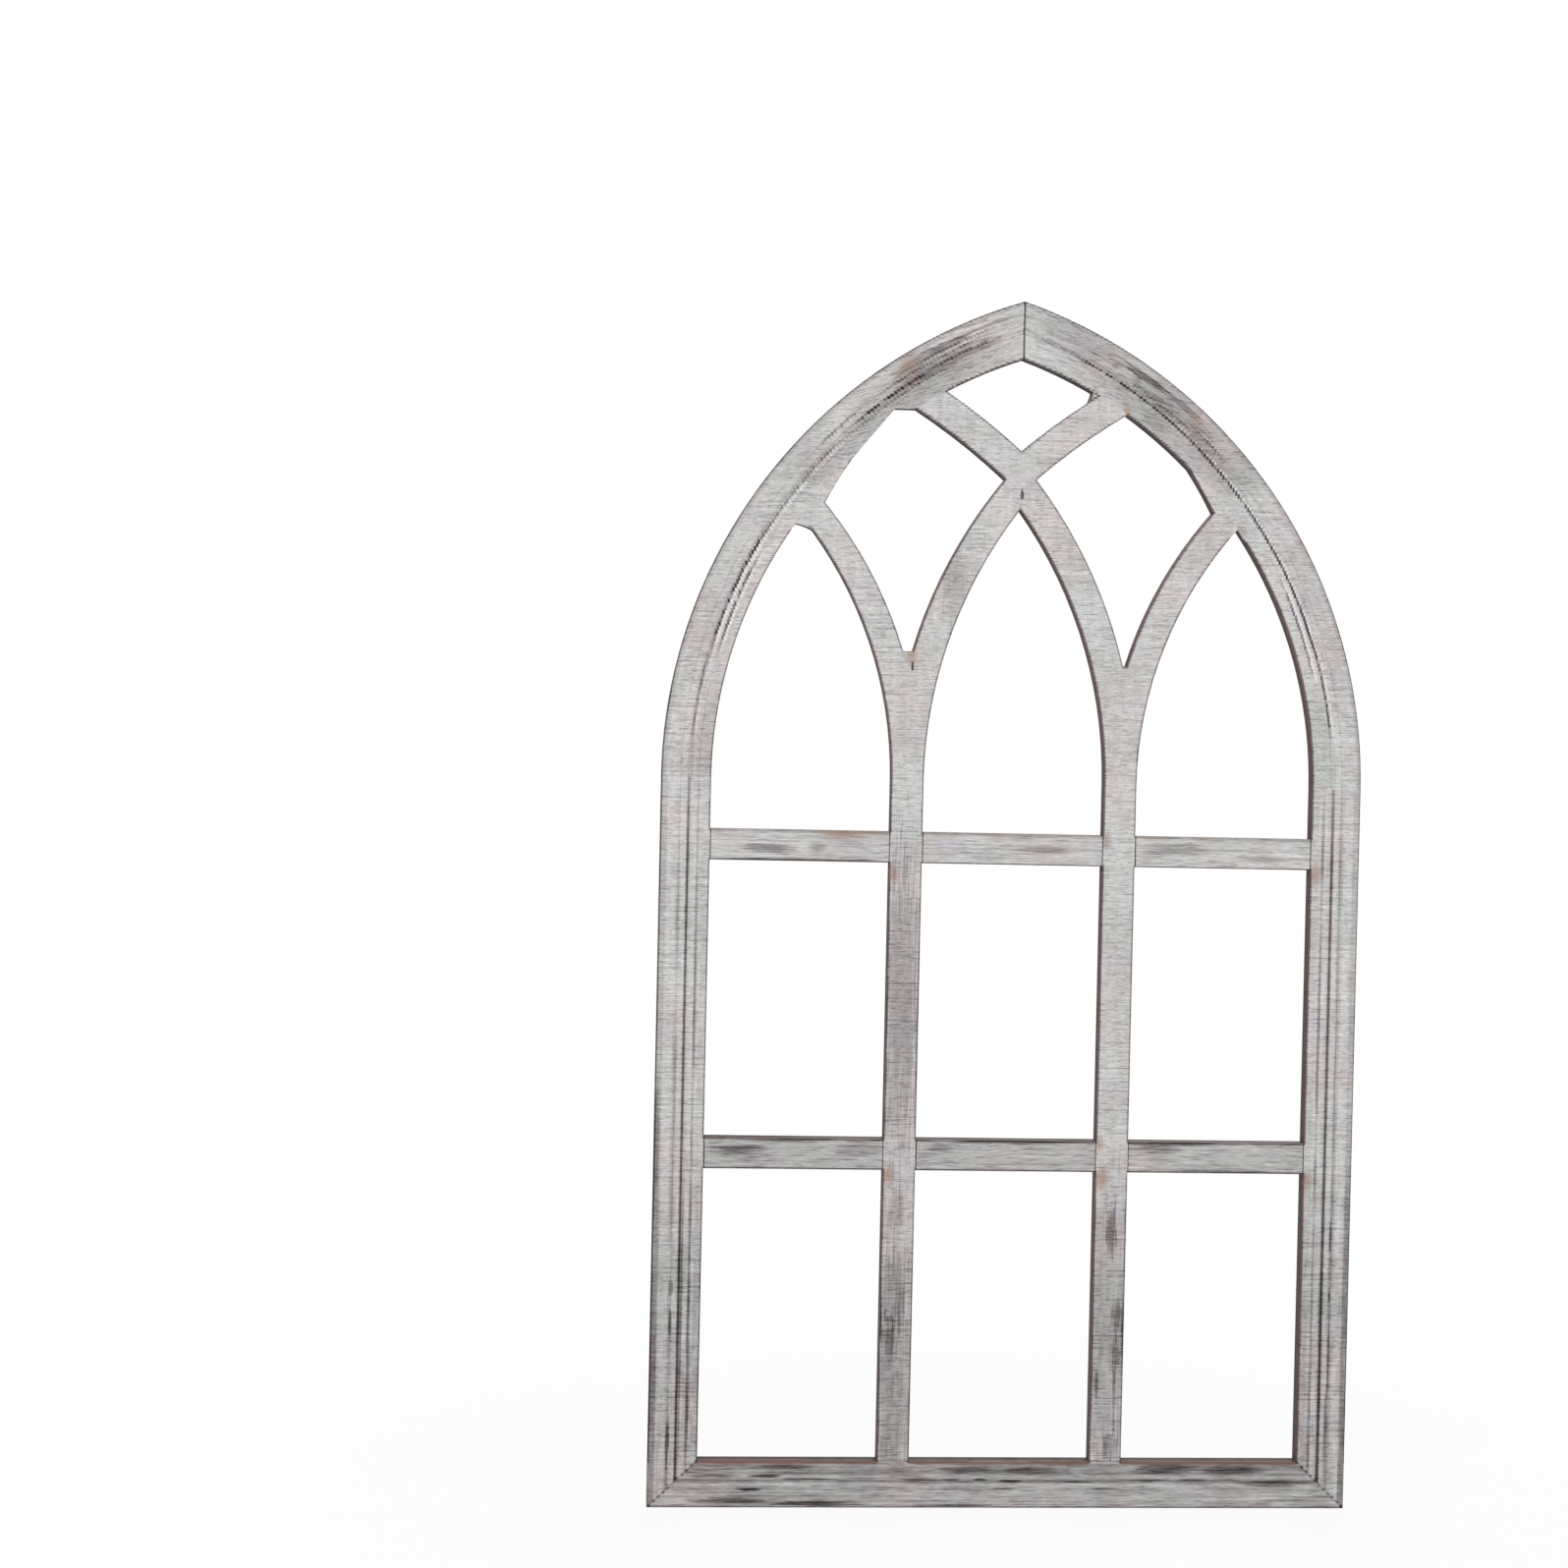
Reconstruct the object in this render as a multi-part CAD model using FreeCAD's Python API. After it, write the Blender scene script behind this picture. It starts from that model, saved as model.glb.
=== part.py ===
import FreeCAD, Part
import math
import os

# Pointed-arch wooden window frame with crossing tracery and no glass.
# Millimetres, +Z up. The front faces -Y and the back lies on the plane y = 0, against the wall.
# x = 0 is the centre line and z = 0 the underside of the bottom rail.

# Outer frame
frame_width = 450.0
frame_thickness = 11.0
stile_face = 31.5           # width of the stiles and of the foot of the arch, seen from the front
rail_face = 30.0            # height of the bottom rail, seen from the front
arch_radius = 321.5         # outer edge of each half of the pointed arch
apex_face = 36.5            # length of the plumb joint at the apex

# Panes, from the bottom rail up to the springing of the arch
lower_pane_height = 186.5
middle_pane_height = 176.3
muntin_height = 19.7
lancet_sill_height = 32.4   # straight stretch between the upper muntins and the springing

# Mullions and tracery
mullion_width = 20.5
mullion_spacing = 137.0
side_arm_radius = 252.0     # lower edge of the arms that bend out to the arch
side_arm_width = 18.5
left_arm_radius = 260.0     # the left one's lower edge, which slims it towards the arch
rising_arm_radius = 290.0   # lower edge of the arms that bend in and form the middle lancet
rising_arm_width = 19.5
upper_arm_radius = 414.0    # lower edge of the arms that carry on from the crossing to the arch
upper_arm_slope = 43.5      # degrees, where an upper arm leaves the crossing
upper_arm_width = 20.0
crossing_rise = 10.0        # from the point of the middle lancet up to the upper arms' lower edges

# Corners of the lights that aren't sharp
shoulder_reach = 31.0       # swelling of the arch over the root of each side arm, along the arch
shoulder_foot = 6.5         # and along the arm
lancet_tip_arch = 6.2       # blunt point of the left lancet, along the arch
lancet_tip_arm = 11.5       # and along the arm
top_tip_arch = 4.5          # blunt right corner of the top light, along the arch
top_tip_arm = 7.5           # and along the arm
flat_top_length = 13.5      # level top of the upper left light
flat_top_reach = 54.0       # stretch of the arch that this corner is cut from
corner_bow = 0.045          # bow of the blunt corners outwards, as a share of their length
left_crotch_fill = 12.0     # level bottoms of the upper lights, above the sharp crotch of the arms
right_crotch_fill = 5.5

# Moulding on the outer frame: two flat beads with a quirk between them
bead_centre = 18.0          # from the outer edge to the quirk between the beads
bead_width = 6.0
bead_drop = 0.15            # crest of a bead below the front face
quirk_depth = 1.8
step_depth = 0.6            # drop from the flats to the outer side of the beads
arris = 1.0                 # eased outer edge

# Open joints on the front face
joint_depth = 0.7

# Keyhole slots for hanging, routed into the back of the stiles
keyhole_below_springing = 30.0
keyhole_entry_radius = 4.75
keyhole_neck_radius = 2.5
keyhole_rise = 12.0
keyhole_depth = 7.0
keyhole_lip = 3.0           # wood left over the screw head

# Places that follow from the sizes above
half_width = frame_width / 2
inner_half_width = half_width - stile_face
lower_muntin_z = rail_face + lower_pane_height
upper_muntin_z = lower_muntin_z + muntin_height + middle_pane_height
springing_z = upper_muntin_z + muntin_height + lancet_sill_height
rise_limit = springing_z + arch_radius
arch_offset = arch_radius - half_width
mullion_inner = mullion_spacing / 2 - mullion_width / 2
mullion_outer = mullion_inner + mullion_width

# The inner edge of the arch is tangent to the stiles and ends at the foot of the apex joint.
inner_rise = math.sqrt(arch_radius ** 2 - arch_offset ** 2) - apex_face
inner_arch_radius = (inner_rise ** 2 + inner_half_width ** 2) / (2 * inner_half_width)

# Arcs of the left half, as (x of the centre, z of the centre, radius)
arch_inner = (inner_arch_radius - inner_half_width, springing_z, inner_arch_radius)
side_lower = (-mullion_outer - side_arm_radius, springing_z, side_arm_radius)
side_upper = (side_lower[0], springing_z, side_arm_radius + side_arm_width)
left_side_lower = (-mullion_outer - left_arm_radius, springing_z, left_arm_radius)
rising_lower = (rising_arm_radius - mullion_inner, springing_z, rising_arm_radius)
lancet_point_z = springing_z + math.sqrt(rising_arm_radius ** 2 - rising_lower[0] ** 2)
upper_lower = (
    -upper_arm_radius * math.sin(math.radians(upper_arm_slope)),
    lancet_point_z + crossing_rise - upper_arm_radius * math.cos(math.radians(upper_arm_slope)),
    upper_arm_radius,
)

origin = FreeCAD.Vector(0, 0, 0)
backwards = FreeCAD.Vector(0, 1, 0)
through = backwards * -frame_thickness


def wider(arc, width):
    """The concentric arc that lies outside the given one by a bar's width."""
    x, z, radius = arc
    return x, z, radius + width


def meet(first, second):
    """The higher of the two points (x, z) where two arcs cross."""
    x, z, radius = first
    dx, dz = second[0] - x, second[1] - z
    gap = math.hypot(dx, dz)
    reach = (radius ** 2 - second[2] ** 2 + gap ** 2) / (2 * gap)
    offset = math.sqrt(radius ** 2 - reach ** 2)
    points = [
        (x + (reach * dx - side * dz) / gap, z + (reach * dz + side * dx) / gap)
        for side in (offset, -offset)
    ]
    return max(points, key=lambda point: point[1])


def along(arc, point, distance):
    """The point a distance along an arc from another, counted anticlockwise seen from the front."""
    x, z, radius = arc
    angle = math.atan2(point[1] - z, point[0] - x) + distance / radius
    return x + radius * math.cos(angle), z + radius * math.sin(angle)


def block(x_low, x_high, z_low, z_high):
    """A board as thick as the frame."""
    corner = FreeCAD.Vector(x_low, -frame_thickness, z_low)
    return Part.makeBox(x_high - x_low, frame_thickness, z_high - z_low, corner)


def disc(arc):
    """A round board as thick as the frame."""
    x, z, radius = arc
    return Part.makeCylinder(radius, frame_thickness, FreeCAD.Vector(x, 0, z), -backwards)


def prism(points):
    """A board as thick as the frame, with straight edges between points (x, z)."""
    corners = [FreeCAD.Vector(x, 0, z) for x, z in points]
    return Part.Face(Part.makePolygon(corners + corners[:1])).extrude(through)


def curved_bar(lower_arc, width):
    return disc(wider(lower_arc, width)).cut(disc(lower_arc))


def mirrored(shape):
    return shape.mirror(origin, FreeCAD.Vector(1, 0, 0))


def corner_fill(first, second, along_first, along_second):
    """Blunts the corner where two arcs cross, with a slightly bowed edge between a point on each. It
    reaches past the corner into the bars, so that it joins them along the arcs."""
    x, z = meet(first, second)
    corner = FreeCAD.Vector(x, 0, z)
    start_x, start_z = along(first, (x, z), along_first)
    start = FreeCAD.Vector(start_x, 0, start_z)
    end_x, end_z = along(second, (x, z), along_second)
    end = FreeCAD.Vector(end_x, 0, end_z)
    middle = (start + end) / 2
    outwards = (corner - middle).normalize()
    bowed = Part.Arc(start, middle + outwards * start.distanceToPoint(end) * corner_bow, end)
    sides = Part.makePolygon([end, corner * 2 - middle, start])
    return Part.Face(Part.Wire([bowed.toShape(), *sides.Edges])).extrude(through)


def head_opening():
    """The pointed space inside the left half of the arch."""
    return disc(arch_inner).common(block(-inner_half_width, 0, springing_z, rise_limit))


def moulding(place, scale=1.0, spare=0.0):
    """Section of the outer frame. place(inward, depth) turns a distance in from the outer edge and a
    depth behind the front face into a point. spare widens the inner flat, to be cut to a curve."""
    centre = bead_centre * scale
    width = bead_width * scale
    inner = stile_face * scale + spare
    outer_side = [
        place(0, frame_thickness),
        place(0, arris),
        place(arris, 0),
        place(centre - width, 0),
        place(centre - width, step_depth),
    ]
    quirk = place(centre, quirk_depth)
    inner_side = [
        place(centre + width, step_depth),
        place(centre + width, 0),
        place(inner, 0),
        place(inner, frame_thickness),
        outer_side[0],
    ]
    outer_bead = Part.Arc(outer_side[-1], place(centre - width / 2, bead_drop), quirk)
    inner_bead = Part.Arc(quirk, place(centre + width / 2, bead_drop), inner_side[0])
    edges = [Part.makeLine(a, b) for a, b in zip(outer_side, outer_side[1:])]
    edges += [outer_bead.toShape(), inner_bead.toShape()]
    edges += [Part.makeLine(a, b) for a, b in zip(inner_side, inner_side[1:])]
    return Part.Face(Part.Wire(edges))


def open_joint(start, end):
    """A small V cut along a joint line between two points (x, z) of the front face."""
    run = FreeCAD.Vector(end[0] - start[0], 0, end[1] - start[1])
    side = run.cross(backwards).normalize() * joint_depth
    front = FreeCAD.Vector(start[0], -frame_thickness, start[1])
    bottom = front + backwards * joint_depth
    return Part.Face(Part.makePolygon([front - side, bottom, front + side, front - side])).extrude(run)


def mitre_joint():
    return open_joint((-half_width, 0), (-inner_half_width, rail_face))


def apex_joint():
    """The plumb joint between the two halves of the arch."""
    return open_joint((0, springing_z), (0, rise_limit))


def stile_side_of_mitre():
    """Everything above the line through the outer and inner corners at the left foot."""
    reach = rise_limit / rail_face
    far_corner = (-half_width + stile_face * reach, rail_face * reach)
    return prism([(-half_width, 0), far_corner, (-half_width, far_corner[1])])


def keyhole():
    """Entry hole, neck and undercut of a keyhole slot in the left stile."""
    entry = FreeCAD.Vector(-half_width + stile_face / 2, 0, springing_z - keyhole_below_springing)

    def slot(radius, depth_low):
        length = keyhole_depth - depth_low
        low = entry - backwards * depth_low
        top = low + FreeCAD.Vector(0, 0, keyhole_rise)
        sides = Part.makeBox(2 * radius, length, keyhole_rise, low - FreeCAD.Vector(radius, length, 0))
        ends = [Part.makeCylinder(radius, length, end, -backwards) for end in (low, top)]
        return sides.fuse(ends)

    hole = Part.makeCylinder(keyhole_entry_radius, keyhole_depth, entry, -backwards)
    return hole.fuse([slot(keyhole_neck_radius, 0), slot(keyhole_entry_radius, keyhole_lip)])


def left_stile():
    section = moulding(lambda inward, depth: FreeCAD.Vector(
        -half_width + inward, depth - frame_thickness, 0))
    stile = section.extrude(FreeCAD.Vector(0, 0, springing_z)).common(stile_side_of_mitre())
    return stile.cut([keyhole(), mitre_joint()])


def bottom_rail():
    section = moulding(lambda inward, depth: FreeCAD.Vector(
        -half_width, depth - frame_thickness, inward), scale=rail_face / stile_face)
    rail = section.extrude(FreeCAD.Vector(frame_width, 0, 0))
    ends = [stile_side_of_mitre(), mitre_joint()]
    return rail.cut(ends + [mirrored(end) for end in ends])


def left_arch():
    """The moulding turned about the arch's centre, from the springing to the plumb joint at the apex,
    with a shoulder over the root of the side arm."""
    section = moulding(lambda inward, depth: FreeCAD.Vector(
        -half_width + inward, depth - frame_thickness, springing_z), spare=apex_face)
    arch = section.revolve(FreeCAD.Vector(arch_offset, 0, springing_z), backwards, 90)
    arch = arch.common(block(-half_width, 0, springing_z, rise_limit)).cut(head_opening())
    shoulder = corner_fill(arch_inner, side_upper, -shoulder_reach, -shoulder_foot)
    shoulder = shoulder.cut(disc(side_upper))
    return arch.fuse(shoulder).removeSplitter().cut(apex_joint())


def flat_top():
    """The piece cut out of the left arch where the upper left light ends level instead of in a point."""
    corner = meet(arch_inner, upper_lower)
    level_end = (corner[0] - flat_top_length, corner[1])
    return prism([corner, level_end, along(arch_inner, corner, flat_top_reach)])


def left_tracery(side_edge, tip, crotch_fill):
    """One board: the mullion, the arm that bends out to the arch, and the left half of the crossing.
    side_edge is that arm's lower edge, tip blunts one corner of a light beside the board, and
    crotch_fill the crotch between the two arms."""
    mullion = block(-mullion_outer, -mullion_inner, rail_face, springing_z)
    x, z = meet(side_upper, wider(rising_lower, rising_arm_width))
    arms = disc(side_upper).cut(disc(side_edge)).fuse([
        curved_bar(rising_lower, rising_arm_width),
        curved_bar(upper_lower, upper_arm_width),
        block(x - crotch_fill / 2, x + crotch_fill / 2, z, z + crotch_fill),
        tip,
    ])
    board = mullion.fuse(arms.common(head_opening())).removeSplitter()
    foot = open_joint((-mullion_outer, rail_face), (-mullion_inner, rail_face))
    return board.cut(foot)


def muntin(x_low, x_high, z_low):
    """A short bar between two uprights, with an open joint at each end."""
    bar = block(x_low, x_high, z_low, z_low + muntin_height)
    return bar.cut([open_joint((x, z_low), (x, z_low + muntin_height)) for x in (x_low, x_high)])


def window_frame():
    lancet_tip = corner_fill(arch_inner, left_side_lower, lancet_tip_arch, -lancet_tip_arm)
    upper_upper = wider(upper_lower, upper_arm_width)
    top_tip = corner_fill(arch_inner, upper_upper, -top_tip_arch, -top_tip_arm)
    nodes = {
        "left_stile": left_stile(),
        "right_stile": mirrored(left_stile()),
        "bottom_rail": bottom_rail(),
        "left_arch": left_arch().cut(flat_top()),
        "right_arch": mirrored(left_arch()),
        "left_tracery": left_tracery(left_side_lower, lancet_tip, left_crotch_fill),
        "right_tracery": mirrored(left_tracery(side_lower, top_tip, right_crotch_fill)),
    }
    bays = {
        "left": (-inner_half_width, -mullion_outer),
        "centre": (-mullion_inner, mullion_inner),
        "right": (mullion_outer, inner_half_width),
    }
    for row, z_low in (("lower", lower_muntin_z), ("upper", upper_muntin_z)):
        for bay, (x_low, x_high) in bays.items():
            nodes[f"{row}_{bay}_muntin"] = muntin(x_low, x_high, z_low)
    return nodes


os.makedirs("parts", exist_ok=True)
for name, shape in window_frame().items():
    shape.exportStep(f"parts/{name}.step")
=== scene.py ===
import math

import bpy
from mathutils import Matrix, Vector

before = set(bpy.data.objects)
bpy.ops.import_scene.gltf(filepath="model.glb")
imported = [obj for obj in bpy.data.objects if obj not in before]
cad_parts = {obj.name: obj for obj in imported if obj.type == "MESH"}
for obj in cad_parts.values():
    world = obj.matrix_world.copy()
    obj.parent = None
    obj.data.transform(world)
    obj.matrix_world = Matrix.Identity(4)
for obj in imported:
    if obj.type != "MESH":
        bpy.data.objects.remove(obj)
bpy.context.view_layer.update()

# Sizes of the window frame in millimetres, as the solids have them. Places are those of the left half.
MM_PER_METRE = 1000.0
HALF_WIDTH = 225.0
THICKNESS = 11.0
STILE_FACE = 31.5
RAIL_FACE = 30.0
SPRINGING = 464.6
ARCH_OUTER = (96.5, 321.5)          # x of the centre, radius
ARCH_INNER = (91.87, 285.37)
SIDE_ARM_TOP = (-330.75, 270.5)
SIDE_ARM_FOOT = (-330.75, 252.0)
LEFT_ARM_GROWTH = 8.0               # the left arm's lower edge has a radius larger by this
RISING_ARM = (231.75, 290.0, 19.5)  # x of the centre, lower radius, width
UPPER_ARM = (-284.98, 348.66, 414.0, 20.0)  # x and z of the centre, lower radius, width
BAR_ENDS = 6.0                      # how far the bars are taken to run on into the arch
MULLION = (-79.0, -58.0)
STILE_EDGE = -193.5
MUNTINS = ((216.5, 236.2), (412.5, 432.2))
MUNTIN_ENDS = {"left": (STILE_EDGE, -78.75), "centre": (-58.25, 58.25), "right": (78.75, -STILE_EDGE)}
APEX_FOOT = 734.8
APEX = 771.3
GROOVES = (12.0, 17.7, 24.3)        # from the outer edge: step, quirk, step
# Blunt corners of the lights: the sharp corner, how far the wood reaches from it, and its new edge
FILLS = (
    ((-129.2, 645.0), 29.0, (-124.9, 640.1), (-108.4, 667.9)),
    ((-139.6, 631.5), 14.0, (-143.1, 626.4), (-131.5, 623.0)),
    ((-48.9, 712.8), 8.0, (-45.0, 715.0), (-42.7, 708.7)),
)
CROTCH = (-69.6, 535.1, 547.1, 540.6)  # x and z of the sharp crotch, tops of its left and right fill
CROTCH_FILL = (6.0, 8.0)            # half width of the fill, and how far it goes below the crotch


def srgb(red, green, blue):
    """A colour as it is read off a screen, 0 to 255, as the shader wants it."""
    def linear(value):
        value /= 255
        return value / 12.92 if value <= 0.04045 else ((value + 0.055) / 1.055) ** 2.4

    return linear(red), linear(green), linear(blue), 1.0


# Arithmetic on numbers that vary over the surface

def connect(socket, value):
    if isinstance(value, Field):
        socket.id_data.links.new(value.socket, socket)
    else:
        socket.default_value = value


class Field:
    """A number that varies over the surface. Arithmetic on it adds Math nodes."""

    def __init__(self, socket):
        self.socket = socket

    def apply(self, operation, *others):
        node = self.socket.id_data.nodes.new("ShaderNodeMath")
        node.operation = operation
        for socket, value in zip(node.inputs, (self, *others)):
            connect(socket, value)
        return Field(node.outputs[0])

    def __add__(self, other):
        return self.apply("ADD", other)

    def __sub__(self, other):
        return self.apply("SUBTRACT", other)

    def __rsub__(self, other):
        return self * -1.0 + other

    def __mul__(self, other):
        return self.apply("MULTIPLY", other)

    def __truediv__(self, other):
        return self.apply("DIVIDE", other)

    def __abs__(self):
        return self.apply("ABSOLUTE")

    __radd__ = __add__
    __rmul__ = __mul__

    def least(self, other):
        return self.apply("MINIMUM", other)

    def most(self, other):
        return self.apply("MAXIMUM", other)

    def clamped(self):
        return self.least(1.0).most(0.0)

    def ramp(self, start, end):
        """0 at start and 1 at end, with a soft S between them. start may be above end."""
        node = self.socket.id_data.nodes.new("ShaderNodeMapRange")
        node.interpolation_type = "SMOOTHSTEP"
        low, high = min(start, end), max(start, end)
        connect(node.inputs["Value"], self)
        node.inputs["From Min"].default_value = low
        node.inputs["From Max"].default_value = high
        node.inputs["To Min"].default_value = float(start > end)
        node.inputs["To Max"].default_value = float(end > start)
        return Field(node.outputs["Result"])

    def line(self, place, half_width):
        """1 on a line where the number is place, fading out to 0 at half_width from it."""
        return abs(self - place).ramp(half_width, half_width * 0.25)

    def band(self, low, high, soft):
        """1 between low and high, fading out over soft to either side of both."""
        return self.ramp(low - soft, low + soft) * self.ramp(high + soft, high - soft)


def length(a, b):
    return (a * a + b * b).apply("SQRT")


def tree_of(*values):
    return next(value.socket.id_data for value in values if isinstance(value, Field))


def noise(x, y, z, detail=2.0, roughness=0.5):
    """Smooth noise between 0 and 1, about one swell to a unit."""
    tree = tree_of(x, y, z)
    vector = tree.nodes.new("ShaderNodeCombineXYZ")
    for socket, value in zip(vector.inputs, (x, y, z)):
        connect(socket, value)
    node = tree.nodes.new("ShaderNodeTexNoise")
    tree.links.new(vector.outputs[0], node.inputs["Vector"])
    node.inputs["Scale"].default_value = 1.0
    node.inputs["Detail"].default_value = detail
    node.inputs["Roughness"].default_value = roughness
    return Field(node.outputs["Fac"])


def colour_mix(factor, low, high, blend="MIX"):
    """A colour: low where factor is 0 and high where it is 1."""
    node = tree_of(factor, low, high).nodes.new("ShaderNodeMix")
    node.data_type = "RGBA"
    node.blend_type = blend
    connect(node.inputs["Factor"], factor)
    for name, value in (("A", low), ("B", high)):
        socket = next(s for s in node.inputs if s.name == name and s.type == "RGBA")
        connect(socket, value)
    return Field(next(s for s in node.outputs if s.type == "RGBA"))


def colour_ramp(factor, stops):
    node = factor.socket.id_data.nodes.new("ShaderNodeValToRGB")
    connect(node.inputs[0], factor)
    elements = node.color_ramp.elements
    while len(elements) < len(stops):
        elements.new(0.5)
    for element, (place, colour) in zip(elements, stops):
        element.position = place
        element.color = colour
    return Field(node.outputs["Color"])


# Paint of the frame

WASH = (
    (0.0, srgb(230, 229, 227)),
    (0.25, srgb(189, 187, 186)),
    (0.5, srgb(147, 142, 142)),
    (0.75, srgb(102, 94, 93)),
    (1.0, srgb(44, 38, 38)),
)
COOL = srgb(251, 255, 254)
WARM = srgb(255, 250, 248)
LILAC = srgb(251, 250, 255)
OLD_STAIN = srgb(76, 54, 50)
SIDE = (
    (0.0, srgb(126, 94, 85)),
    (0.15, srgb(92, 63, 57)),
    (0.45, OLD_STAIN),
    (0.58, srgb(94, 80, 75)),
    (0.7, srgb(64, 53, 50)),
    (0.82, srgb(46, 39, 37)),
    (1.0, srgb(36, 31, 30)),
)
BARE_EDGE = srgb(128, 91, 76)
BACK = (
    (0.0, srgb(126, 104, 84)),
    (0.5, srgb(166, 144, 118)),
    (1.0, srgb(190, 172, 148)),
)
SCORCH = srgb(150, 116, 82)

# Sizes of the marks in the paint, in millimetres. Pairs are a length and a height, or along and across.
ROW = 1.45                          # height of a row of the grain, in which slanting edges are ragged too
THREAD = 7.0                        # length of a mark in every row
LINE = 24.0                         # length of a mark in every other row
HAIR = 0.5                          # half the height of either
WANDER = (60.0, 2.0)                # swells of the rows
BEND = (110.0, 0.3)                 # within this distance of the apex the rows on the arch slope this much
MOTTLE = (3.0, 0.6, 5.0)            # the smallest flecks: length, height, depth
WEAVE = (60.0, 0.75)                # lighter and darker stretches of the rows
STREAK = (30.0, 1.4)
SMEAR = (24.0, 5.0)
POOL = 22.0                         # swells of the dark wash in the quirk
DASH = (45.0, 9.0)                  # lengths of it in the steps of the stiles
CLOUD = 50.0
TINT = (45.0, 60.0)                 # spots of a cooler or a warmer white
CAST = (30.0, 40.0)                 # spots of a bluer white
FIBRE = (18.0, 0.9, 30.0)           # saw marks on the sides: along, in depth, across
FIGURE = (45.0, 1.7)                # grain of the bare back
PORE = (9.0, 0.6)
SPECKLE = 0.5
ROPE = 2.8                          # slanting grooves break up into strokes, one to this length
STROKE_WIDTH = 1.1                  # half the width of a stroke
STROKE_HEIGHT = (2.1, 1.3)          # half its height, to where it has faded out and to where it is full
STROKE_JITTER = 1.4
HIGHLIGHT_STROKE = 1.8                  # from a dark stroke to the painted highlight beside it

# Where the paint changes, from the first number of a pair to the second, in millimetres
DIRTY = (238.0, 130.0)              # height: the whole front gets darker
STILE_HEAD = (468.0, 420.0)         # height: dark wash fills the grooves of the stiles
STILE_LOW = (420.0, 60.0)           # height: their steps get darker
SIDE_HIGH = (440.0, 600.0)          # height: the sides get paler
RAIL_RUBBED = (27.4, 28.8)          # height: the upper edge of the rail is rubbed bare
RAIL_STREAKED = (21.0, 29.0, 1.2)   # height: a streaked band on the rail, with how soft its edges are
STILE_OUTER = (5.0, 3.6)            # inset: dark along the outer edge of the stiles
STILE_INNER = (25.5, 27.5)          # inset: dark along their inner edge
ARCH_EDGE = (4.0, 2.0)              # inset: dark along the outer edge of the arch
ARCH_BEAD = (19.0, 22.0)            # inset: dark on its inner bead
ARCH_FOOT = (80.0, 40.0)            # length up the arch: only here is that bead dark
LYING = (220.0, 300.0)              # length up the arch: the strokes lie down
EASED = (1.6, 2.4)                  # distance from an edge: the moulding begins
HOLLOW = (2.4, 2.0)                 # depth: it ends
# The same by the way a face is turned, as parts of its normal
TO_FRONT = (-0.18, -0.34)           # y: the front begins
GROOVE_WALL = (-0.9, -0.5)          # y: slanting walls of the moulding, which get painted light
TO_WALL = (0.4, 0.6)                # y: the back
TO_SKY = (0.6, 0.95)                # z: the top of a piece
TO_FLOOR = (-0.2, -0.8)             # z: its underside, which gets painted shade

BOARD = (0.82, 0.57)                # how the boards of the arch lean: upward, and towards the apex
SPECULAR = 0.3
RELIEF = 0.001                      # in metres


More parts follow.
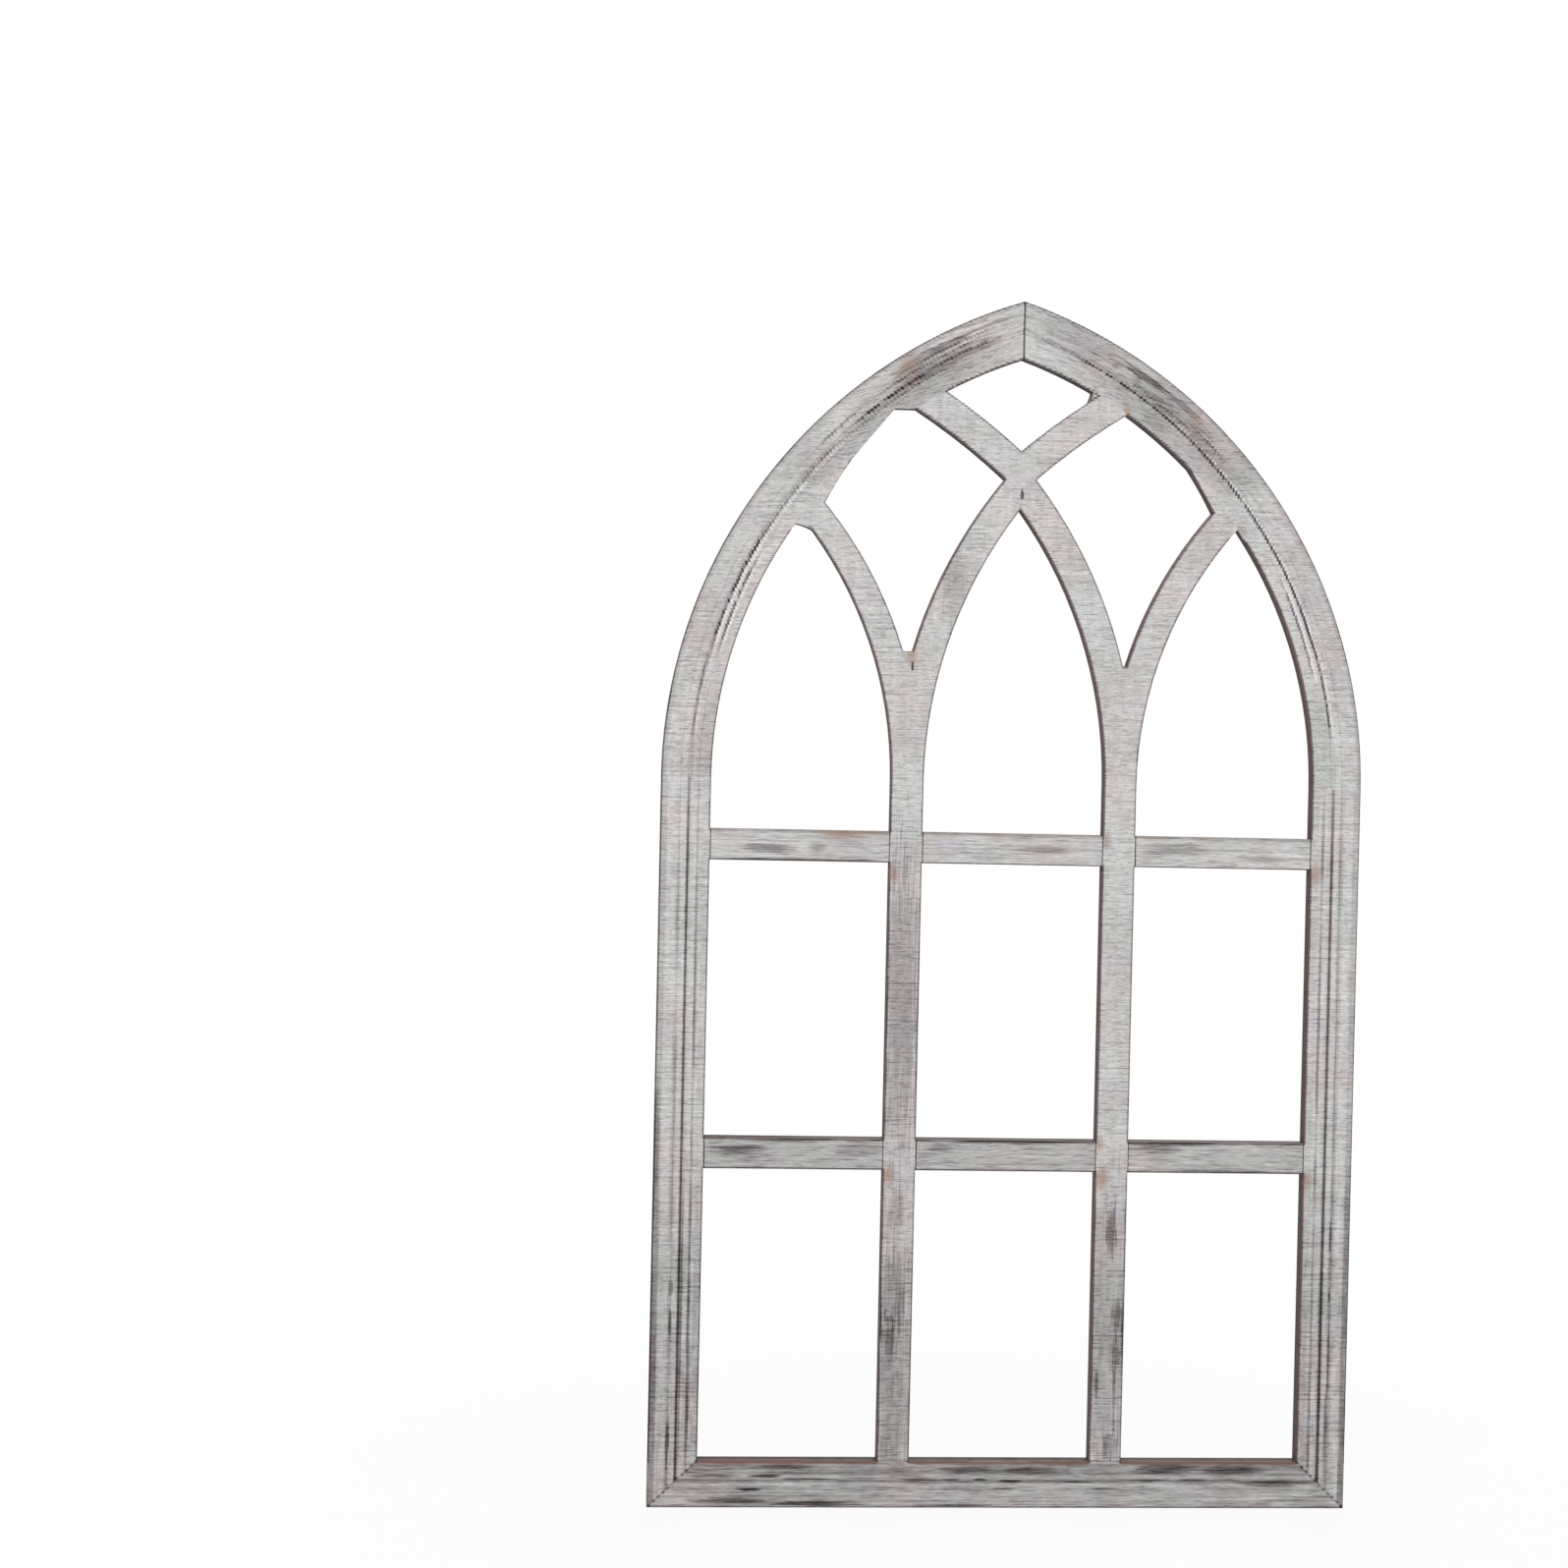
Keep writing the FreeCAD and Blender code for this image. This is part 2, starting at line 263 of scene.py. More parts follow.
class Place:
    """Where a point is on the window frame, in millimetres, as fields of one material."""

    def __init__(self, tree):
        coordinates = tree.nodes.new("ShaderNodeTexCoord")
        split = tree.nodes.new("ShaderNodeSeparateXYZ")
        tree.links.new(coordinates.outputs["Object"], split.inputs[0])
        self.x, self.y, self.z = (Field(socket) * MM_PER_METRE for socket in split.outputs)
        self.depth = self.y + THICKNESS
        self.left = abs(self.x) * -1.0
        self.on_left = self.x.apply("LESS_THAN", 0.0)
        geometry = tree.nodes.new("ShaderNodeNewGeometry")
        facing = tree.nodes.new("ShaderNodeSeparateXYZ")
        tree.links.new(geometry.outputs["True Normal"], facing.inputs[0])
        self.turned = Field(facing.outputs["Y"])
        self.upward = Field(facing.outputs["Z"])

    def ways(self, kind):
        """Distances along and across a piece."""
        if kind == "arch":
            centre, radius = ARCH_OUTER
            angle = (self.z - SPRINGING).apply("ARCTAN2", centre - self.left)
            return angle * radius, self.from_outer_edge(self.z)
        if kind == "stile":
            return self.z, self.from_outer_edge(self.z)
        if kind == "tracery":
            return self.z, self.x
        return self.x, self.z

    def stepped(self, pitch):
        """The height of the middle of the level row that a point is in."""
        return ((self.z / pitch).apply("FLOOR") + 0.5) * pitch

    def row_end(self, pitch):
        """0 in the middle of a level row and 1 at its upper and lower end."""
        return abs((self.z / pitch).apply("FRACT") - 0.5) * 2.0

    def rows(self, level, pitch, run, seed):
        """Thin level lines, one to a row or none, broken into lengths of about run."""
        row = (level / pitch).apply("FLOOR")
        shown = noise(self.x / run, row * 2.7, seed, 1.0).ramp(0.46, 0.68)
        lift = noise(self.x / (run * 2.0), row * 1.9, seed + 6.0) * 0.6 + 0.2
        within = (level / pitch).apply("FRACT") - lift
        return within.line(0.0, HAIR / pitch) * shown

    def above_springing(self, z):
        return (z - SPRINGING).most(0.0)

    def from_outer_edge(self, z):
        """Distance in from the outer edge, on the stiles and up the arch."""
        centre, radius = ARCH_OUTER
        return radius - length(self.left - centre, self.above_springing(z))

    def side_arm(self, rise):
        """Distance to the nearer edge of the arm that bends out to the arch, positive inside it."""
        centre, radius = SIDE_ARM_TOP
        under = radius - length(self.left - centre, rise)
        centre, radius = SIDE_ARM_FOOT
        growth = self.on_left * LEFT_ARM_GROWTH
        return under.least(length(self.left - centre + growth, rise) - growth - radius)

    def bar(self, centre_x, rise, lower_radius, width):
        """Distance to the nearer edge of a curved bar, positive inside it."""
        reach = length(self.left - centre_x, rise)
        return (reach - lower_radius).least(lower_radius + width - reach)

    def fill(self, z, corner, reach, start, end):
        """Distance to the edge that blunts a corner of a light, positive on its left."""
        run = Vector((end[0] - start[0], end[1] - start[1])).normalized()
        beyond = (z - start[1]) * run[0] - (self.left - start[0]) * run[1]
        return beyond.least(reach - length(self.left - corner[0], z - corner[1]))

    def from_edge(self, z):
        """Distance to the nearest edge of the wood seen from the front, with all pieces taken as one."""
        rise = self.above_springing(z)
        centre, radius = ARCH_INNER
        outside = length(self.left - centre, rise) - radius
        surround = self.from_outer_edge(z).least(outside)
        x, centre_z, lower, width = UPPER_ARM
        bars = self.bar(x, z - centre_z, lower, width).most(self.side_arm(rise))
        x, lower, width = RISING_ARM
        bars = bars.most(self.bar(x, rise, lower, width))
        for low, high in MUNTINS:
            bars = bars.most((z - low).least(high - z))
        bars = bars.least(BAR_ENDS - outside)
        for fill in FILLS:
            bars = bars.most(self.fill(z, *fill))
        x, crotch_z, left_top, right_top = CROTCH
        half_width, below = CROTCH_FILL
        top = right_top + self.on_left * (left_top - right_top)
        crotch = (top - z).least(half_width - abs(self.left - x)).least(z - crotch_z + below)
        return surround.most(bars).most(crotch).most(RAIL_FACE - z).least(z)

    def front_share(self, edge):
        """1 on the front face and in its moulding, 0 on the sides and the back."""
        hollow = self.depth.ramp(*HOLLOW) * edge.ramp(*EASED)
        return self.turned.ramp(*TO_FRONT).most(hollow)

    def rope(self, along, inset):
        """Dark strokes in a row up the arch, upright at its foot and level towards the apex, less the
        painted highlights on their right."""
        centre, radius = ARCH_OUTER
        count = (along / ROPE).apply("FLOOR")
        angle = (count + 0.5) * (ROPE / radius)
        reach = radius - inset
        jitter = noise(count * 1.7, inset, self.on_left * 9.0) - 0.5
        beside = self.left - centre + angle.apply("COSINE") * reach + jitter * STROKE_JITTER
        above = self.z - SPRINGING - angle.apply("SINE") * reach
        lying = along.ramp(*LYING)
        beside = beside / (1.0 + lying * 0.7)
        above = above * (1.0 + lying * 0.9)
        to_right = beside * (self.on_left * 2.0 - 1.0)
        # The paler stroke right of each dark one is a painted highlight
        strokes = beside.line(0.0, STROKE_WIDTH) - to_right.line(HIGHLIGHT_STROKE, STROKE_WIDTH) * 0.5
        boldness = noise(count * 0.9, inset + 4.0, self.on_left * 9.0).ramp(0.2, 0.6)
        return strokes * abs(above).ramp(*STROKE_HEIGHT) * boldness

    def mitre(self, z):
        """Distance from the mitre at the foot of the stiles."""
        size = math.hypot(STILE_FACE, RAIL_FACE)
        return abs((self.left + HALF_WIDTH) * (RAIL_FACE / size) - z * (STILE_FACE / size))


class Paint:
    """The finish of one piece: whitewash worn down to the stained wood on the front, sawn sides and a bare
    back. kind says how the piece lies and whether it is moulded. Each noise is cut at seed plus a number
    of its own, so that no two marks are alike."""

    def __init__(self, tree, kind, seed):
        self.kind = kind
        self.seed = seed
        self.place = place = Place(tree)
        self.along, self.across = place.ways(kind)
        self.dirt = place.z.ramp(*DIRTY)

        # The grain runs level over every piece, whatever way it lies
        stretch = 2.0 if kind in ("rail", "muntin") else 1.0
        run, height = WANDER
        level = place.z + (noise(place.x / run, place.z / run, seed + 2.0) - 0.5) * height
        if kind == "arch":
            reach, slope = BEND
            level = level - (place.left + reach).most(0.0) * slope
        run, height, depth = MOTTLE
        self.mottle = noise(place.x / (run * stretch), level / height, seed + place.y / depth, 1.0) - 0.5
        run, height = WEAVE
        self.weave = noise(place.x / (run * stretch), level / height, seed + 45.0, 1.0) - 0.5
        self.threads = place.rows(level, ROW, THREAD * stretch, seed)
        self.lines = place.rows(level, 2.0 * ROW, LINE * stretch, seed + 40.0)
        self.hairs = self.threads.most(self.lines)

        # Brush marks and saw marks run along the piece
        run, width = STREAK
        self.streaks = noise(self.along / run, self.across / width, seed + 5.0, 3.0, 0.6)
        run, width = SMEAR
        self.smears = noise(self.along / run, self.across / width, seed + 9.0, 2.0) - 0.5
        run, depth, width = FIBRE
        self.fibres = noise(self.along / run, place.y / depth, self.across / width, 3.0, 0.6)

        # Patches are brushed out more on the flat pieces than in the moulding
        flat = kind in ("tracery", "muntin")
        brushing, flecking = (3.0, 1.2) if flat else (1.4, 0.6)
        self.broken = (self.streaks - 0.5) * brushing + self.mottle * flecking - self.threads * 0.2

        self.edge = place.from_edge(place.stepped(ROW))
        self.arris = abs(self.edge) + (self.streaks - 0.5) * 0.8
        self.front = place.front_share(self.edge)

    def patch(self, middle, inset, half_length, half_width, strength):
        """A brushed dark patch, given by its middle along and across the piece."""
        reach = length((self.along - middle) / half_length, (self.across - inset) / half_width)
        return (reach + self.broken).ramp(1.15, 0.5) * strength

    def rope(self, middle, half_length, inset, strength):
        """A row of strokes along the arch."""
        fading = (abs(self.along - middle) / half_length + self.smears * 0.6).ramp(1.1, 0.5)
        return self.place.rope(self.along, inset) * fading * strength

    def joint(self, x, low, high, strength):
        """An upright joint line."""
        return self.place.x.line(x, 1.0) * self.place.z.band(low, high, 0.5) * strength

    def depth_of_wash(self):
        return 0.3 + noise(self.along / POOL, self.seed + 13.0, 0.0, 2.0) * 1.4

    def arch_moulding(self):
        """Dark wash along the edge, in the quirk and at the foot, and painted light on the slanting walls
        of the moulding to cancel their shade.
        """
        quirk = GROOVES[1]
        wash = self.across.ramp(*ARCH_EDGE) * 0.1
        wash = wash + self.across.line(quirk + 0.8, 2.4) * 0.12 * self.depth_of_wash()
        wash = wash + self.across.ramp(*ARCH_BEAD) * self.along.ramp(*ARCH_FOOT) * 0.08
        # Painted light: the slanting walls of the moulding are washed paler to cancel their shade
        return wash - self.place.turned.ramp(*GROOVE_WALL) * self.edge.ramp(*EASED) * 0.3

    def stile_moulding(self):
        """Dark wash in the quirk and the steps, more of it lower down, and along both edges."""
        across, dirt = self.across, self.dirt
        step, quirk, inner_step = GROOVES
        low = self.place.z.ramp(*STILE_LOW)
        below_arch = self.place.z.ramp(*STILE_HEAD)
        run, width = DASH
        dashes = noise(self.along / run, across / width, self.seed + 17.0, 3.0)
        dashed = dashes.ramp(0.25, 0.7) * below_arch
        uneven = 0.75 + self.depth_of_wash() * 0.25
        wash = across.line(quirk - 0.2, 1.25) * (0.2 + below_arch * 0.32) * uneven
        wash = wash + across.band(quirk - 0.7, quirk + 1.8, 0.5) * dirt * 0.1
        wash = wash + across.line(step, 2.4) * (0.16 + low * 0.08) * dashed
        wash = wash + across.line(inner_step - 0.3, 1.5) * (0.3 + low * 0.12) * dashed
        wash = wash + across.ramp(*STILE_OUTER) * (0.12 + dirt * 0.14)
        return wash + across.ramp(*STILE_INNER) * (0.04 + dirt * 0.06)

    def rail_moulding(self):
        """Dark wash in the quirk and in streaks above it."""
        quirk = GROOVES[1] * RAIL_FACE / STILE_FACE
        wash = self.across.line(quirk, 1.4) * 0.2 * self.depth_of_wash()
        return wash + self.across.band(*RAIL_STREAKED) * (0.04 + self.streaks * 0.24)

    def mitre_joint(self):
        """A dotted line along the mitre."""
        dots = self.place.row_end(ROPE).ramp(1.0, 0.5) * (0.3 + self.mottle * 1.2)
        return self.place.mitre(self.place.stepped(ROPE)).ramp(1.0, 0.3) * dots

    def wear(self, worn, brushed, patches, ropes, joints):
        """How much dark shows on the front: none at 0, no whitewash left at 1."""
        place, dirt = self.place, self.dirt
        cloud = noise(place.x / CLOUD, place.z / CLOUD, self.seed + 3.0, 2.0) - 0.5
        wear = 0.16 + worn + self.mottle * 0.4 + self.weave * 0.4 + cloud * 0.2
        wear = wear + self.threads * 0.2 + self.lines * (0.12 + dirt * 0.05)
        wear = wear + dirt * 0.09 + self.smears * (0.15 + dirt * 0.25)
        wear = wear + self.streaks.ramp(0.52, 0.75) * (brushed + dirt * 0.1)
        for patch in patches:
            wear = wear + self.patch(*patch)
        for rope in ropes:
            wear = wear + self.rope(*rope)
        if self.kind == "arch":
            wear = wear + self.arch_moulding()
        elif self.kind == "stile":
            wear = wear + self.stile_moulding() + self.mitre_joint()
        elif self.kind == "rail":
            wear = wear + self.rail_moulding() + self.mitre_joint()
        for joint in joints:
            wear = wear + self.joint(*joint)
        return (wear + self.arris.ramp(1.3, 0.1) * 0.55).clamped()

    def front_colour(self, wear, stains):
        place, seed = self.place, self.seed
        wash = colour_ramp(wear, WASH)
        run, height = TINT
        tint = noise(place.x / run, place.z / height, seed + 21.0, 2.0).ramp(0.38, 0.62)
        run, height = CAST
        cast = noise(place.x / run, place.z / height, seed + 27.0, 2.0).ramp(0.52, 0.66)
        tinge = colour_mix(cast, colour_mix(tint, COOL, WARM), LILAC)
        wash = colour_mix(1.0, wash, tinge, "MULTIPLY")
        flatness = 2.2 if self.kind == "muntin" else 0.7
        for x, z, radius, strength in stains:
            reach = length(place.x - x, (place.z - z) * flatness) / radius
            spot = (reach + self.smears * 1.2 + self.mottle).ramp(1.1, 0.1) * strength
            wash = colour_mix(spot, wash, SCORCH)
        if self.kind == "rail":
            # The upper edge is rubbed bare between the uprights
            in_bay = 1.0 - place.left.band(*MULLION, 0.7)
            in_bay = in_bay * place.left.ramp(STILE_EDGE - 1.5, STILE_EDGE + 1.5)
            rubbed = (place.z + (self.streaks - 0.5) * 3.0).ramp(*RAIL_RUBBED) * in_bay
            wash = colour_mix(rubbed * 0.85, wash, BARE_EDGE)
        return wash

    def side_colour(self):
        """Reddish at the front and dark towards the wall, with painted shade below and on top, and rubbed
        bare on top.
        """
        place = self.place
        on_top = place.upward.ramp(*TO_SKY)
        # Painted shade: the tops (on_top) and the undersides (TO_FLOOR) are darkened by how they face
        shade = place.depth / THICKNESS * 0.95 + (self.fibres - 0.5) * 0.5 + on_top * 0.3
        shade = shade + place.upward.ramp(*TO_FLOOR) * 0.6 - place.z.ramp(*SIDE_HIGH) * 0.2
        rubbed = on_top * (place.depth + (self.fibres - 0.5) * 4.0).ramp(4.6, 2.6)
        return colour_mix(rubbed * 0.3, colour_ramp(shade.clamped(), SIDE), BARE_EDGE)

    def back_colour(self):
        """Bare wood with the grain along each board, in a tone of its own, and stain run over its edges."""
        place, seed = self.place, self.seed
        along, across = self.along, self.across
        if self.kind == "arch":
            up, inward = BOARD
            along = place.z * up + place.left * inward
            across = place.left * up - place.z * inward
        run, width = FIGURE
        bare = noise(along / run, across / width, seed + 31.0, 4.0, 0.6)
        run, width = PORE
        pores = noise(along / run, across / width, seed + 35.0, 1.0).ramp(0.6, 0.75)
        tone = (seed * 0.37 % 1.0 - 0.5) * 0.35
        wood = colour_ramp((bare * 1.3 - 0.15 - pores * 0.3 + tone).clamped(), BACK)
        stained = (self.arris + (bare - 0.5) * 4.0).ramp(2.6, 0.4)
        return colour_mix(stained * 0.7, wood, OLD_STAIN)

    def relief(self):
        grain = self.mottle * -0.2 + self.hairs * -0.15 + self.streaks * 0.08
        return grain + self.fibres * (1.0 - self.front) * 0.25

    def roughness(self):
        place = self.place
        speckle = noise(place.x / SPECKLE, place.y / SPECKLE, place.z / SPECKLE, 1.0)
        return 0.62 + speckle * 0.16 + self.hairs * 0.1


def whitewash(name, kind, seed, patches=(), ropes=(), stains=(), joints=(), worn=0.0, brushed=0.06):
    """The material of one piece. worn is how much dark shows all over, and brushed how much of it lies in
    streaks along the piece. A patch is (along, across, half length, half width, strength), a rope
    (along, half length, inset, strength), a stain (x, z, radius, strength) and a joint
    (x, low, high, strength)."""
    material = bpy.data.materials.new(name)
    material.use_nodes = True
    tree = material.node_tree
    shader = tree.nodes["Principled BSDF"]
    paint = Paint(tree, kind, seed)
    wash = paint.front_colour(paint.wear(worn, brushed, patches, ropes, joints), stains)
    seen = colour_mix(paint.front, paint.side_colour(), wash)
    to_wall = paint.place.turned.ramp(*TO_WALL)
    connect(shader.inputs["Base Color"], colour_mix(to_wall, seen, paint.back_colour()))
    connect(shader.inputs["Roughness"], paint.roughness())
    shader.inputs["Specular IOR Level"].default_value = SPECULAR
    bump = tree.nodes.new("ShaderNodeBump")
    bump.inputs["Distance"].default_value = RELIEF
    connect(bump.inputs["Height"], paint.relief())
    tree.links.new(bump.outputs["Normal"], shader.inputs["Normal"])
    return material


def muntin_joints(row, bay, strengths):
    low, high = MUNTINS[row]
    return [(x, low, high, strength) for x, strength in zip(MUNTIN_ENDS[bay], strengths)]


PIECES = {
    "left_stile": {
        "kind": "stile", "seed": 1.0,
        "patches": [(230, 1.2, 45, 2.5, 0.25), (140, 12.5, 6, 2.0, 0.3), (117, 12.5, 9, 1.2, 0.35),
                    (70, 24.6, 38, 1.1, 0.3), (42, 12, 17, 1.4, 0.45), (90, 1.8, 50, 2.4, 0.1),
                    (125, 19.3, 95, 0.8, 0.3), (445, 8, 40, 14, -0.06)],
    },
    "right_stile": {
        "kind": "stile", "seed": 2.0,
        "patches": [(190, 1.8, 42, 2.5, 0.12), (176, 12.8, 11, 0.9, 0.35), (137, 12.6, 5, 0.9, 0.3),
                    (95, 12.2, 24, 0.9, 0.25), (55, 13.5, 28, 1.1, 0.3), (62, 24.5, 40, 1.2, 0.15)],
        "stains": [(195.5, 212.0, 6.5, 0.55), (196.5, 409.8, 6.0, 0.55)],
    },
    "bottom_rail": {
        "kind": "rail", "seed": 3.0, "worn": 0.04, "brushed": 0.1,
        "patches": [(-184, 20.5, 19, 1.2, 0.35), (-151, 20.3, 11, 1.1, 0.6), (-121, 18.4, 20, 0.7, 0.5),
                    (-86, 19, 16, 0.6, 0.3), (-160, 12, 10, 0.9, 0.65), (-171, 4.3, 26, 2.0, 0.45),
                    (-120, 3.0, 28, 1.6, 0.5), (-138, 26.3, 24, 1.6, 0.35), (-52, 18, 13, 0.8, 0.4),
                    (-30, 18, 7, 0.9, 0.5), (-12, 18.2, 5, 0.9, 0.7), (8, 17.2, 8, 0.9, 0.55),
                    (4, 12.6, 10, 0.6, 0.4), (53, 16.6, 11, 0.7, 0.3), (69, 12.7, 10, 0.7, 0.4),
                    (-21, 24.7, 20, 2.0, 0.3), (20, 24, 22, 2.6, 0.3), (-27, 2, 34, 0.8, 0.35),
                    (98, 18, 12, 0.9, 0.45), (126, 18.2, 11, 1.0, 0.5), (147, 18.4, 9, 0.8, 0.3),
                    (107, 25.5, 21, 4.0, 0.32), (152, 25, 24, 3.5, 0.35), (179, 16, 20, 2.6, 0.3),
                    (187, 5.6, 20, 0.9, 0.25), (-138, 6, 46, 5.0, 0.12)],
    },
    "left_arch": {
        "kind": "arch", "seed": 4.0,
        "patches": [(328, 8, 20, 4, 0.25), (350, 8.5, 16, 3, 0.3), (378, 7, 26, 1.2, 0.3),
                    (345, 17, 40, 5, 0.2), (300, 14, 45, 7, 0.1), (235, 10, 26, 14, 0.1),
                    (298, 26, 84, 9, 0.16), (110, 9, 60, 9, 0.05)],
        "ropes": [(55, 34, 17.9, 0.35), (130, 52, 18.7, 0.8), (122, 38, 23.3, 0.55), (205, 64, 19.4, 0.35),
                  (262, 22, 12.5, 0.35), (300, 36, 17.6, 0.7), (350, 40, 10.0, 0.3), (355, 30, 16.5, 0.35),
                  (335, 48, 13.0, 0.35), (305, 50, 21.0, 0.3)],
        "stains": [(-74.0, 728.0, 11.0, 0.4)],
        "joints": [(0.0, APEX_FOOT, APEX, 0.6)],
    },
    "right_arch": {
        "kind": "arch", "seed": 5.0,
        "patches": [(314, 7.5, 18, 3, 0.35), (284, 6.5, 16, 2.5, 0.2), (290, 9.5, 44, 8, 0.15),
                    (292, 27.5, 12, 4, 0.12), (360, 8, 40, 8, 0.1), (240, 9, 36, 12, 0.16),
                    (285, 23, 84, 12, 0.15), (115, 10, 70, 10, 0.06), (368, 10, 40, 12, 0.06)],
        "ropes": [(70, 38, 18.7, 0.65), (140, 48, 19.3, 0.9), (115, 38, 24.4, 0.5), (215, 54, 19.8, 0.6),
                  (253, 16, 12.8, 0.3), (308, 56, 19.5, 0.65), (370, 24, 18.6, 0.3), (300, 44, 15.5, 0.25)],
        "stains": [(141.7, 627.0, 6.0, 0.5), (67.0, 702.5, 4.5, 0.45), (112.0, 697.0, 8.0, 0.25)],
        "joints": [(0.0, APEX_FOOT, APEX, 0.6)],
    },
    "left_tracery": {
        "kind": "tracery", "seed": 6.0, "worn": 0.01,
        "patches": [(190, -70, 16, 6, 0.17), (140, -70, 28, 10, 0.2), (110, -74, 14, 6, 0.24),
                    (325, -70, 95, 14, 0.24), (80, -69, 60, 14, 0.16), (595, -42, 30, 8, 0.12),
                    (648.5, 1, 3, 1.4, 0.6)],
        "stains": [(-75.5, 214.0, 6.0, 0.6), (-76.5, 405.8, 5.5, 0.55), (-67.0, 544.5, 5.5, 0.55)],
        "joints": [(-67.0, 535.0, 540.5, 0.8)],
    },
    "right_tracery": {
        "kind": "tracery", "seed": 6.0, "worn": 0.01,
        "patches": [(180, 69, 16, 3.5, 0.3), (125, 75, 12, 4, 0.3), (100, 74, 12, 3, 0.25),
                    (81, 62, 9, 1.3, 0.3), (70, 73.5, 22, 0.9, 0.3), (40, 72, 9, 5, 0.25),
                    (120, 68, 90, 14, 0.12), (648.5, 1, 3, 1.4, 0.6)],
        "stains": [(62.0, 213.5, 6.5, 0.6), (60.0, 428.0, 5.0, 0.6), (59.5, 234.0, 4.5, 0.55),
                   (1.5, 681.0, 5.0, 0.35)],
    },
    "lower_left_muntin": {
        "kind": "muntin", "seed": 8.0, "worn": 0.1, "brushed": 0.25,
        "patches": [(-173, 228, 16, 4.5, 0.35), (-145, 234.6, 34, 1.3, 0.35), (-92, 230, 16, 5, 0.15)],
        "joints": muntin_joints(0, "left", (0.8, 0.4)),
    },
    "lower_centre_muntin": {
        "kind": "muntin", "seed": 9.0, "worn": 0.1, "brushed": 0.25,
        "patches": [(-42, 231, 9, 2.2, 0.25), (10, 235, 50, 1.2, 0.35)],
        "joints": muntin_joints(0, "centre", (0.85, 0.4)),
    },
    "lower_right_muntin": {
        "kind": "muntin", "seed": 10.0, "worn": 0.12, "brushed": 0.25,
        "patches": [(98, 232, 15, 3.2, 0.28), (110, 235, 34, 1.3, 0.35), (135, 218, 28, 1.1, 0.3)],
        "joints": muntin_joints(0, "right", (0.4, 0.5)),
    },
    "upper_left_muntin": {
        "kind": "muntin", "seed": 11.0, "worn": 0.04, "brushed": 0.15,
        "patches": [(-157, 420.5, 18, 3.6, 0.32), (-125, 421, 6, 3.2, 0.2), (-140, 413.5, 50, 1.0, 0.4)],
        "stains": [(-108.0, 432.5, 22.0, 0.7), (-87.5, 432.5, 9.0, 0.7)],
        "joints": muntin_joints(1, "left", (0.6, 0.4)),
    },
    "upper_centre_muntin": {
        "kind": "muntin", "seed": 12.0, "worn": 0.05, "brushed": 0.15,
        "patches": [(20, 422, 18, 3.2, 0.22)],
        "stains": [(-40.0, 433.0, 12.0, 0.35), (-10.0, 433.0, 14.0, 0.3)],
        "joints": muntin_joints(1, "centre", (0.5, 0.7)),
    },
    "upper_right_muntin": {
        "kind": "muntin", "seed": 13.0, "worn": 0.04, "brushed": 0.15,
        "patches": [(104, 424, 20, 4.2, 0.24), (165, 419, 18, 1.6, 0.2)],
        "stains": [(95.0, 433.0, 12.0, 0.35), (125.0, 433.0, 14.0, 0.35)],
        "joints": muntin_joints(1, "right", (0.9, 0.8)),
    },
}

for node, finish in PIECES.items():
    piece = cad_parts[node]
    piece.data.materials.clear()
    piece.data.materials.append(whitewash(f"whitewash_{node}", **finish))


# Floor, light and camera, in metres and watts

FLOOR_SIZE = 24.0
FLOOR_COLOUR = (0.9, 0.9, 0.9, 1.0)
FLOOR_ROUGHNESS = 0.9
SHADOW_REACH = (0.3, 0.9)           # the shadow on the floor fades out between these distances
SHADOW_SHARE = 0.1                  # how much of it shows
SURROUND_LIGHT = 0.42
LAMP_SIZE = 1.6
LAMP_TARGET = (0.0, 0.0, 0.4)
LAMPS = {
    "key": ((-1.3, -2.6, 2.3), 46.0),
    "fill": ((2.0, -2.2, 1.0), 18.5),
    "rear": ((0.6, 2.4, 1.8), 31.0),
}
CAMERA_PLACE = (-0.2707, -1.7506, 0.4901)
CAMERA_TURN, CAMERA_TILT, CAMERA_ROLL = -4.06, 90.0 - 0.95, 1.22
FOCAL_LENGTH = 63.16                # in millimetres, on a sensor this wide
SENSOR_WIDTH = 36.0


def seen_directly(tree):
    """1 for what the camera sees, also in a reflection or through glass, and 0 for light on the object."""
    light_path = tree.nodes.new("ShaderNodeLightPath")
    seen = Field(light_path.outputs["Is Camera Ray"])
    for name in ("Is Glossy Ray", "Is Transmission Ray"):
        seen = seen.most(Field(light_path.outputs[name]))
    return seen


